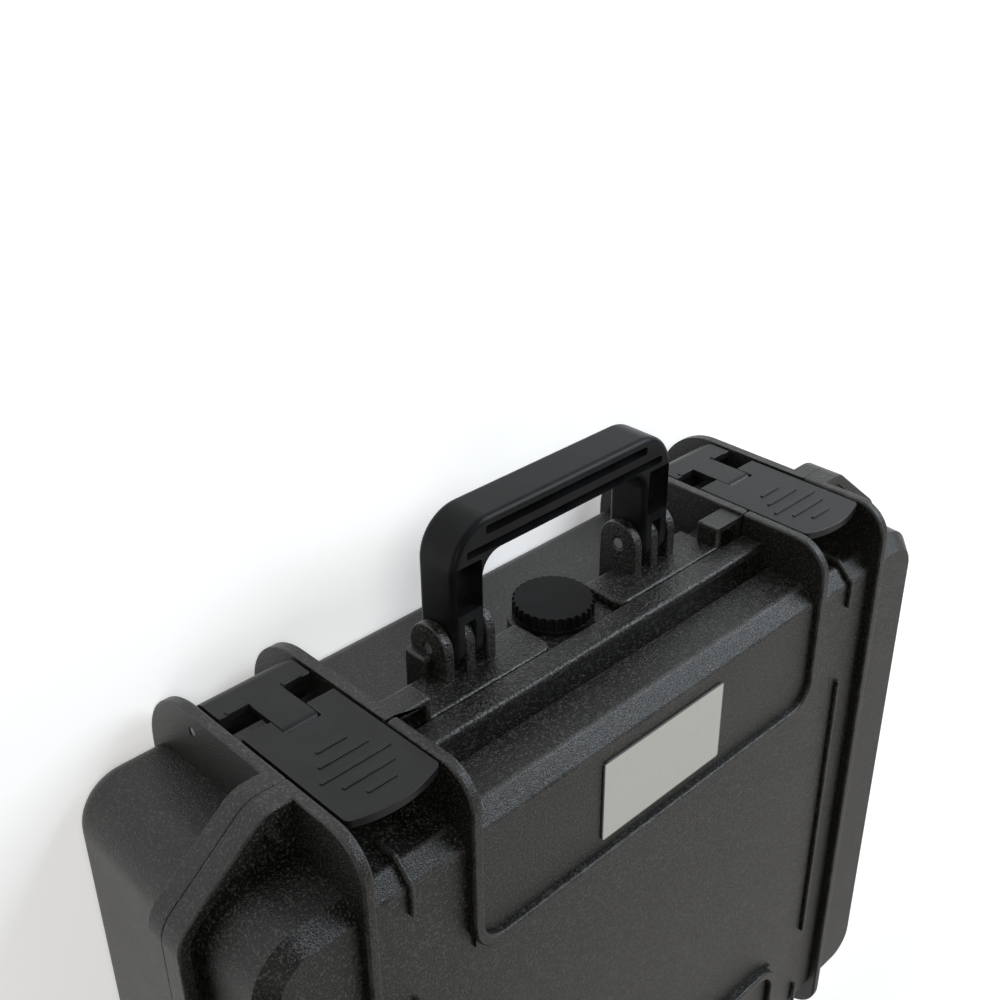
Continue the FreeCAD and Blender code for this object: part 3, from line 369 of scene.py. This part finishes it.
def satin_finish(name, rgb, roughness, gloss, settings):
    """Smoother dark plastic with a fine grain, and rounded edges lightened by slight handling marks and a
    painted highlight.
    """
    finish = Finish(name)
    fine = finish.noise(settings.satin_grain, detail=2.0)
    cloud = finish.noise(SATIN_CLOUD, detail=4.0)
    wear_and_highlight = finish.wear_and_highlight(SATIN_WEAR_AND_HIGHLIGHT)
    base = finish.mix(finish.step(cloud, *SATIN_LIMITS), *shades(rgb, SATIN_TINTS))
    roughness = roughness + spread(cloud, SATIN_CLOUD_SPREAD) + spread(fine, SATIN_GRAIN_SPREAD)
    # Rounded edges are lightened, partly as wear and partly as a painted highlight.
    return finish.surface(
        Base_Color=finish.mix(wear_and_highlight, base, tinted(settings.satin_wear_and_highlight_colour)),
        Roughness=roughness - SATIN_POLISH * wear_and_highlight,
        Normal=finish.bump(fine, settings.satin_grain_depth),
        Specular_IOR_Level=gloss)


def rubber_finish(settings):
    """Dull black rubber of the seals."""
    finish = Finish("seal_rubber")
    cloud = finish.noise(RUBBER_CLOUD, detail=3.0)
    base = finish.mix(cloud, *shades(settings.seal_colour, RUBBER_TINTS))
    return finish.surface(Base_Color=base, Roughness=RUBBER_ROUGHNESS + spread(cloud, RUBBER_SPREAD),
                          Normal=finish.bump(cloud, RUBBER_DEPTH))


def steel_finish(settings):
    """Ground steel of the pins, drawn out along X."""
    finish = Finish("pin_steel")
    drawn = finish.node("ShaderNodeMapping", None, {"Vector": finish.place, "Scale": STEEL_MARKS})
    lines = finish.node("ShaderNodeTexNoise", None, {"Vector": drawn, "Scale": 1.0, "Detail": 2.0})
    base = finish.mix(lines, *shades(settings.pin_colour, STEEL_TINTS))
    return finish.surface(Base_Color=base, Metallic=1.0, Roughness=STEEL_ROUGHNESS + STEEL_SPREAD * lines)


def plate_finish(settings):
    """Light satin film of the blank plate, with a thin dark line along its edge."""
    finish = Finish("plate_film")
    low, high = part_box("name_plate")
    middle, half = (low + high) / 2, (high - low) / 2
    across, along, _ = finish.axes()
    from_edge_x = half.x - finish.node("ShaderNodeMath", {"operation": "ABSOLUTE"}, {0: across - middle.x})
    from_edge_y = half.y - finish.node("ShaderNodeMath", {"operation": "ABSOLUTE"}, {0: along - middle.y})
    inward = finish.node("ShaderNodeMath", {"operation": "MINIMUM"}, {0: from_edge_x, 1: from_edge_y})
    line = finish.step(inward, *PLATE_LINE)
    cloud = finish.noise(PLATE_CLOUD, detail=3.0)
    film = finish.mix(cloud, *shades(settings.plate_colour, PLATE_TINTS))
    base = finish.mix(line, film, PLATE_LINE_COLOUR)
    return finish.surface(Base_Color=base, Roughness=PLATE_ROUGHNESS + spread(cloud, PLATE_SPREAD),
                          Normal=finish.bump(cloud, PLATE_DEPTH))


def floor_finish(settings):
    """Pale floor that a camera, a mirror or glass sees as white apart from the shadow of the case."""
    finish = Finish("pale_floor")
    seen = finish.node("ShaderNodeLightPath", output="Is Camera Ray")
    for kind in ("Is Glossy Ray", "Is Transmission Ray"):
        seen = seen + finish.node("ShaderNodeLightPath", output=kind)
    pale = finish.node("ShaderNodeBsdfDiffuse", None, {"Color": (*settings.floor_colour, 1.0)})
    away = finish.node("ShaderNodeVectorMath", {"operation": "LENGTH"}, {0: finish.place}, output="Value")
    glow = seen * (NEAR_GLOW + FAR_GLOW * finish.step(away, *GLOW_RANGE))
    lift = finish.node("ShaderNodeEmission", None, {"Color": WHITE, "Strength": glow})
    finish.node_output(finish.node("ShaderNodeAddShader", None, {0: pale, 1: lift}))
    return finish.material


def select_only(piece):
    """Makes one object the only selected and the active one."""
    bpy.ops.object.select_all(action="DESELECT")
    piece.select_set(True)
    bpy.context.view_layer.objects.active = piece


def heading(edge, vertex):
    """Direction of an edge away from one of its ends."""
    return (edge.other_vert(vertex).co - vertex.co).normalized()


def runs_on(edge, vertex):
    """The edges that carry on nearly straight past one end of an edge."""
    ahead = -heading(edge, vertex)
    others = [other for other in vertex.link_edges if other is not edge]
    return [other for other in others if heading(other, vertex).dot(ahead) > STRAIGHT]


def room_across(loop):
    """How far a face reaches from the edge of one of its loops, square to it, at a few places."""
    start, end = loop.vert.co, loop.link_loop_next.vert.co
    along = (end - start).normalized()
    inward = loop.face.normal.cross(along)
    room = math.inf
    for part in ROOM_PLACES:
        place = start.lerp(end, part)
        for other in loop.face.edges:
            first, second = (vertex.co - place for vertex in other.verts)
            a, b = first.dot(along), second.dot(along)
            if other is not loop.edge and a * b < 0:
                reach = first.lerp(second, a / (a - b)).dot(inward)
                room = min(room, reach if reach > 0 else math.inf)
    return room


def chains_of(edges):
    """Groups edges into runs that carry on nearly straight."""
    left = set(edges)
    chains = []
    for first in edges:
        if first not in left:
            continue
        left.remove(first)
        chain = [first]
        for edge in chain:
            found = [other for vertex in edge.verts for other in runs_on(edge, vertex) if other in left]
            left.difference_update(found)
            chain += [other for other in found if other not in chain]
        chains.append(chain)
    return chains


def weigh_edges(piece, radius):
    """Gives each run of outer edges one bevel weight that leaves room on the faces beside it."""
    mesh = bmesh.new()
    mesh.from_mesh(piece.data)
    weight = mesh.edges.layers.float.new("bevel_weight_edge")
    outer = [edge for edge in mesh.edges if edge.is_convex and edge.calc_face_angle() > SHARP]
    chosen = set(outer)
    for chain in chains_of(outer):
        room = min(room_across(loop) for edge in chain for loop in edge.link_loops)
        part = min(1.0, ROOM_SHARE * room / radius)
        onward = [runs_on(edge, vertex) for edge in chain for vertex in edge.verts]
        clean = all(not others or chosen.intersection(others) for others in onward)
        for edge in chain:
            edge[weight] = part if clean and part > LEAST_SHARE else 0.0
    mesh.to_mesh(piece.data)
    mesh.free()


def merged_copy(node):
    """A copy of a CAD node whose loose triangles are merged."""
    source = frame["nodes"][node]
    piece = source.copy()
    piece.data = source.data.copy()
    piece.parent = None
    del piece["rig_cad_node"]
    bpy.context.scene.collection.objects.link(piece)
    select_only(piece)
    bpy.ops.object.mode_set(mode="EDIT")
    bpy.ops.mesh.select_all(action="SELECT")
    bpy.ops.mesh.remove_doubles(threshold=MERGE_DISTANCE)
    bpy.ops.object.mode_set(mode="OBJECT")
    bpy.ops.mesh.customdata_custom_splitnormals_clear()
    return piece


def unite(piece, other):
    """Makes one closed mesh of a piece and a flush neighbour."""
    union = piece.modifiers.new("union", "BOOLEAN")
    union.operation = "UNION"
    union.solver = "EXACT"
    union.object = other
    select_only(piece)
    bpy.ops.object.modifier_apply(modifier=union.name)
    bpy.data.objects.remove(other)


def mark_edges(piece):
    """Notes on every face whether the rounding made it, for the wear and painted highlight, and leaves one
    material slot.
    """
    mark = piece.data.attributes.new(EDGE, "FLOAT", "FACE")
    for face, value in zip(piece.data.polygons, mark.data):
        value.value = float(face.material_index == ROUNDED)
        face.material_index = 0


def softened(node, radius, flush_nodes=()):
    """A copy of a CAD node and its flush neighbours with rounded outer edges, which stands for them."""
    piece = merged_copy(node)
    piece.name = f"{node}_moulded"
    for other in flush_nodes:
        unite(piece, merged_copy(other))
    bpy.ops.object.mode_set(mode="EDIT")
    bpy.ops.mesh.select_all(action="SELECT")
    bpy.ops.mesh.dissolve_limited(angle_limit=FLAT)
    bpy.ops.object.mode_set(mode="OBJECT")
    weigh_edges(piece, radius)
    piece.data.materials.clear()
    for _ in range(ROUNDED + 1):
        piece.data.materials.append(None)
    bevel = piece.modifiers.new("edge_round", "BEVEL")
    bevel.limit_method = "WEIGHT"
    bevel.width = radius
    bevel.segments = BEVEL_SEGMENTS
    bevel.use_clamp_overlap = False
    bevel.loop_slide = False
    bevel.material = ROUNDED
    bpy.ops.object.modifier_apply(modifier=bevel.name)
    mark_edges(piece)
    bpy.ops.object.shade_smooth_by_angle(angle=SHARP)
    flat = piece.modifiers.new("flat_faces", "WEIGHTED_NORMAL")
    flat.keep_sharp = True
    bpy.ops.object.modifier_apply(modifier=flat.name)
    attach(piece, BODY_OF[node])
    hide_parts(node, *flush_nodes)
    return piece


def dress(piece, material):
    """Gives a piece one material."""
    piece.data.materials.clear()
    piece.data.materials.append(material)


class ShellsOperator(bpy.types.Operator):
    """Rounds base and lid, each one with its padlock ears, and gives them their grain"""

    bl_idname = "hard_case.shells"
    bl_label = "Shells"

    def execute(self, context):
        settings = context.scene.hard_case
        material = shell_finish(settings)
        for half in ("base", "lid"):
            ears = [f"{half}_ear_{side}" for side in SIDES]
            dress(softened(f"{half}_shell", settings.shell_round, ears), material)
        return {"FINISHED"}


class LatchesOperator(bpy.types.Operator):
    """Rounds the latch plates and levers and gives them their satin finish"""

    bl_idname = "hard_case.latches"
    bl_label = "Latches"

    def execute(self, context):
        settings = context.scene.hard_case
        material = satin_finish("latch_plastic", settings.latch_colour, settings.latch_roughness,
                                settings.latch_gloss, settings)
        for side in SIDES:
            for node in (f"latch_plate_{side}", f"latch_lever_{side}"):
                dress(softened(node, settings.latch_round), material)
        return {"FINISHED"}


class HandleOperator(bpy.types.Operator):
    """Rounds the slots of the handle and gives it its satin finish"""

    bl_idname = "hard_case.handle"
    bl_label = "Handle"

    def execute(self, context):
        settings = context.scene.hard_case
        material = satin_finish("handle_plastic", settings.handle_colour, settings.handle_roughness,
                                settings.handle_gloss, settings)
        dress(softened("carry_handle", settings.handle_round), material)
        return {"FINISHED"}


class ValveOperator(bpy.types.Operator):
    """Rounds the valve cap and finishes the whole valve"""

    bl_idname = "hard_case.valve"
    bl_label = "Valve"

    def execute(self, context):
        settings = context.scene.hard_case
        material = satin_finish("valve_plastic", settings.valve_colour, settings.valve_roughness,
                                settings.valve_gloss, settings)
        dress(softened("valve_cap", settings.valve_round), material)
        for node in ("valve_body", "valve_nut"):
            dress(frame["nodes"][node], material)
        return {"FINISHED"}


class SmallPartsOperator(bpy.types.Operator):
    """Finishes the seals and the pins"""

    bl_idname = "hard_case.small_parts"
    bl_label = "Seals and pins"

    def execute(self, context):
        settings = context.scene.hard_case
        rubber = rubber_finish(settings)
        steel = steel_finish(settings)
        for node in ("lid_seal", "valve_seal"):
            dress(frame["nodes"][node], rubber)
        for side in SIDES:
            for kind in ("hinge_pin", "latch_pin", "lever_pin", "handle_pin"):
                dress(frame["nodes"][f"{kind}_{side}"], steel)
        return {"FINISHED"}


class PlateOperator(bpy.types.Operator):
    """Rounds the blank plate and gives it its film"""

    bl_idname = "hard_case.plate"
    bl_label = "Blank plate"

    def execute(self, context):
        settings = context.scene.hard_case
        dress(softened("name_plate", settings.plate_round), plate_finish(settings))
        return {"FINISHED"}


def add_softbox(name, place, size, power, tint, mirrored):
    """A square lamp that faces the case, and shows in gloss where it is mirrored."""
    lamp = bpy.data.lights.new(name, "AREA")
    lamp.shape = "SQUARE"
    lamp.size = size
    lamp.energy = power
    lamp.color = tint
    holder = bpy.data.objects.new(name, lamp)
    holder.location = place
    holder.visible_glossy = mirrored
    holder.rotation_euler = (LAMP_TARGET - place).to_track_quat("-Z", "Y").to_euler()
    bpy.context.scene.collection.objects.link(holder)


def add_world():
    """Even pale surroundings that the camera sees as white."""
    world = bpy.data.worlds.new("studio")
    world.use_nodes = True
    tree = world.node_tree
    tree.nodes.clear()
    output = tree.nodes.new("ShaderNodeOutputWorld")
    background = tree.nodes.new("ShaderNodeBackground")
    path = tree.nodes.new("ShaderNodeLightPath")
    strength = tree.nodes.new("ShaderNodeMapRange")
    strength.inputs["To Min"].default_value = WORLD_LIGHT
    strength.inputs["To Max"].default_value = WORLD_SEEN
    tree.links.new(path.outputs["Is Camera Ray"], strength.inputs["Value"])
    tree.links.new(strength.outputs[0], background.inputs["Strength"])
    background.inputs["Color"].default_value = WHITE
    tree.links.new(background.outputs[0], output.inputs["Surface"])
    bpy.context.scene.world = world


def add_camera():
    """Camera at the photograph's place and angle."""
    data = bpy.data.cameras.new("camera")
    data.sensor_width = SENSOR_WIDTH
    data.lens = LENS
    camera = bpy.data.objects.new("camera", data)
    back = CAMERA_BACK.normalized()
    up = back.cross(CAMERA_RIGHT).normalized()
    right = up.cross(back)
    camera.matrix_world = Matrix.Translation(CAMERA_PLACE) @ Matrix((right, up, back)).transposed().to_4x4()
    bpy.context.scene.collection.objects.link(camera)
    bpy.context.scene.camera = camera


class StageOperator(bpy.types.Operator):
    """Adds the floor, the soft light and the camera"""

    bl_idname = "hard_case.stage"
    bl_label = "Stage"

    def execute(self, context):
        settings = context.scene.hard_case
        bpy.ops.object.select_all(action="DESELECT")
        bpy.ops.mesh.primitive_plane_add(size=FLOOR_SIZE, location=FLOOR_PLACE)
        floor = context.active_object
        floor.name = "floor"
        dress(floor, floor_finish(settings))
        for lamp in LAMPS:
            add_softbox(*lamp)
        add_world()
        add_camera()
        context.scene.view_settings.view_transform = "Standard"
        return {"FINISHED"}


class CasePanel(bpy.types.Panel):
    """Lists the finishing steps and their settings"""

    bl_idname = "VIEW3D_PT_hard_case"
    bl_label = "Hard case"
    bl_space_type = "VIEW_3D"
    bl_region_type = "UI"
    bl_category = "Hard case"

    def draw(self, context):
        for operator in OPERATORS:
            self.layout.operator(operator.bl_idname)
        for name in CaseSettings.__annotations__:
            self.layout.prop(context.scene.hard_case, name)


OPERATORS = (ShellsOperator, LatchesOperator, HandleOperator, ValveOperator,
             SmallPartsOperator, PlateOperator, StageOperator)
CLASSES = (CaseSettings, *OPERATORS, CasePanel)


def register():
    """Registers the classes and the settings of the scene."""
    for kind in CLASSES:
        bpy.utils.register_class(kind)
    bpy.types.Scene.hard_case = PointerProperty(type=CaseSettings)


def unregister():
    """Removes the settings and the classes."""
    del bpy.types.Scene.hard_case
    for kind in reversed(CLASSES):
        bpy.utils.unregister_class(kind)


def main():
    """Registers the add-on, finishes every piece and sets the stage."""
    register()
    bpy.ops.hard_case.shells()
    bpy.ops.hard_case.latches()
    bpy.ops.hard_case.handle()
    bpy.ops.hard_case.valve()
    bpy.ops.hard_case.small_parts()
    bpy.ops.hard_case.plate()
    bpy.ops.hard_case.stage()


if __name__ == "__main__":
    main()
